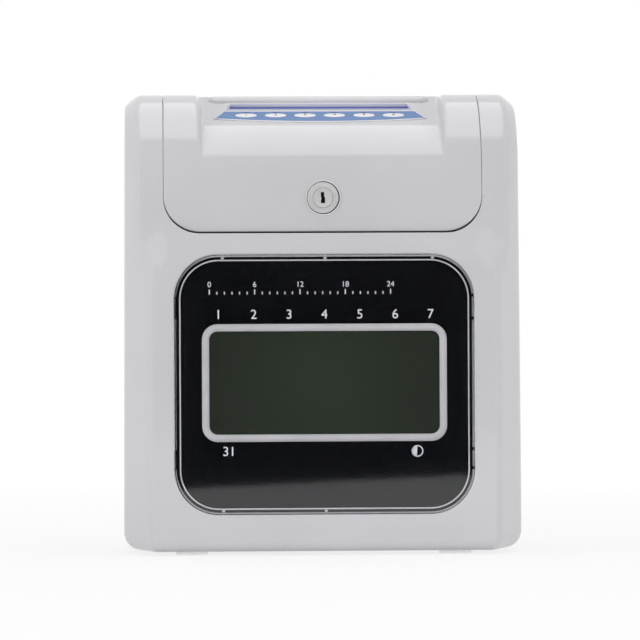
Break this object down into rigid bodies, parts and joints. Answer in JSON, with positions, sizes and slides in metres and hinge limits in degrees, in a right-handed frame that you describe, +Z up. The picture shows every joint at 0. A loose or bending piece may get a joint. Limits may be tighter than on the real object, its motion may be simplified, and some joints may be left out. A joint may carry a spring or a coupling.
{
  "type": "punch card time clock",
  "caption": "Desk-top punch card time recorder with a flip-up keyed door, card slot, oval keys, large black display panel and a card printing mechanism inside",
  "frame": {"origin": "on the table under the middle of the clock's box", "axes": "+Z up, the front with the display faces -Y, +X to the right of someone standing before it"},
  "size_m": [0.1998, 0.132, 0.232],
  "materials": {
    "shell": "glossy moulded plastic, pale cool grey-white",
    "lens": "clear acrylic window",
    "panel_black": "black print behind the window",
    "lcd": "dark grey-green display glass",
    "keypad": "blue printed film",
    "key_white": "white moulded plastic",
    "liner": "blue moulded plastic",
    "lock_metal": "plated lock",
    "steel": "zinc-plated sheet steel",
    "shaft": "ground steel",
    "brass": "turned brass",
    "black_plastic": "black moulded plastic",
    "rubber": "black rubber",
    "board": "green circuit board",
    "nylon": "natural white gear plastic",
    "battery": "shrink sleeve and tray",
    "ribbon": "inked woven ribbon"
  },
  "bodies": {
    "root": {"front_case": "shell", "rear_case": "shell", "base_plate": "shell", "rubber_feet": "rubber", "case_screws": "shaft", "hinge_pins": "shaft", "display_lens": "lens", "display_mask": "panel_black", "lcd_glass": "lcd", "lcd_frame": "black_plastic", "main_board": "board", "board_chips": "black_plastic", "buzzer": "black_plastic", "inner_screws": "shaft", "battery_pack": "battery", "dc_inlet": "black_plastic", "left_side_plate": "steel", "right_side_plate": "steel", "cross_plate": "steel", "card_guide_front": "steel", "card_guide_rear": "steel", "card_sensor": "black_plastic", "platen_bar": "steel", "platen_pad": "rubber", "guide_rods": "shaft", "carriage_motor": "steel", "idler_post": "shaft", "drive_belt": "rubber", "feed_motor": "steel", "shaft_bushes": "brass", "ribbon_deck": "steel", "ribbon_cartridge": "black_plastic", "ribbon_cover": "black_plastic", "ink_ribbon": "ribbon"},
    "door": {"door": "shell", "keypad_overlay": "keypad", "key_board": "board", "slot_liner": "liner", "lock_barrel": "lock_metal", "lock_nut": "lock_metal"},
    "lock": {"lock_plug": "lock_metal", "lock_cam": "lock_metal"},
    "carriage": {"head_carriage": "nylon", "print_head": "black_plastic"},
    "motor_pulley": {"motor_pulley": "shaft"},
    "idler_pulley": {"idler_pulley": "nylon"},
    "feed": {"feed_shaft": "shaft", "feed_rollers": "rubber", "feed_gear": "nylon"},
    "pinch": {"pinch_shaft": "shaft", "pinch_rollers": "rubber"},
    "feed_pinion": {"feed_pinion": "brass"},
    "ribbon_knob": {"ribbon_knob": "key_white"},
    "key_1": {"key_1": "key_white"},
    "key_2": {"key_2": "key_white"},
    "key_3": {"key_3": "key_white"},
    "key_4": {"key_4": "key_white"},
    "key_5": {"key_5": "key_white"},
    "key_6": {"key_6": "key_white"}
  },
  "joints": [
    {"name": "door_hinge", "type": "hinge", "parent": "root", "child": "door", "pos_m": [0, 0.022, 0.223], "axis": [-1, 0, 0], "range_deg": [0, 95]},
    {"name": "lock_turn", "type": "hinge", "parent": "door", "child": "lock", "pos_m": [0, -0.0535, 0.178], "axis": [0, -1, 0], "range_deg": [0, 90]},
    {"name": "carriage_slide", "type": "slide", "parent": "root", "child": "carriage", "axis": [1, 0, 0], "range_m": [-0.028, 0.028]},
    {"name": "motor_pulley_spin", "type": "hinge", "parent": "root", "child": "motor_pulley", "pos_m": [0.048, -0.0243, 0.14298], "axis": [0, 1, 0], "range_deg": [-245, 245]},
    {"name": "idler_spin", "type": "hinge", "parent": "root", "child": "idler_pulley", "pos_m": [-0.048, -0.0243, 0.14298], "axis": [0, 1, 0], "range_deg": [-245, 245]},
    {"name": "feed_spin", "type": "hinge", "parent": "root", "child": "feed", "pos_m": [0, 0.0027, 0.13998], "axis": [1, 0, 0], "continuous": true},
    {"name": "pinch_spin", "type": "hinge", "parent": "root", "child": "pinch", "pos_m": [0, -0.0137, 0.13998], "axis": [1, 0, 0], "continuous": true},
    {"name": "pinion_spin", "type": "hinge", "parent": "root", "child": "feed_pinion", "pos_m": [0.07, 0.02452, 0.12738], "axis": [1, 0, 0], "continuous": true},
    {"name": "ribbon_knob_spin", "type": "hinge", "parent": "root", "child": "ribbon_knob", "pos_m": [-0.03, -0.0275, 0.20198], "axis": [0, 0, 1], "continuous": true},
    {"name": "key_1_press", "type": "slide", "parent": "door", "child": "key_1", "axis": [0, 0.4003, -0.9164], "range_m": [0, 0.001], "stiffness_N_per_m": 400},
    {"name": "key_2_press", "type": "slide", "parent": "door", "child": "key_2", "axis": [0, 0.4003, -0.9164], "range_m": [0, 0.001], "stiffness_N_per_m": 400},
    {"name": "key_3_press", "type": "slide", "parent": "door", "child": "key_3", "axis": [0, 0.4003, -0.9164], "range_m": [0, 0.001], "stiffness_N_per_m": 400},
    {"name": "key_4_press", "type": "slide", "parent": "door", "child": "key_4", "axis": [0, 0.4003, -0.9164], "range_m": [0, 0.001], "stiffness_N_per_m": 400},
    {"name": "key_5_press", "type": "slide", "parent": "door", "child": "key_5", "axis": [0, 0.4003, -0.9164], "range_m": [0, 0.001], "stiffness_N_per_m": 400},
    {"name": "key_6_press", "type": "slide", "parent": "door", "child": "key_6", "axis": [0, 0.4003, -0.9164], "range_m": [0, 0.001], "stiffness_N_per_m": 400}
  ],
  "couplings": [
    {"joint": "pinch_spin", "follows": "feed_spin", "ratio": -1.2857},
    {"joint": "pinion_spin", "follows": "feed_spin", "ratio": -2.5},
    {"joint": "motor_pulley_spin", "follows": "carriage_slide", "rad_per_m": 149.25},
    {"joint": "idler_spin", "follows": "carriage_slide", "rad_per_m": 149.25}
  ]
}
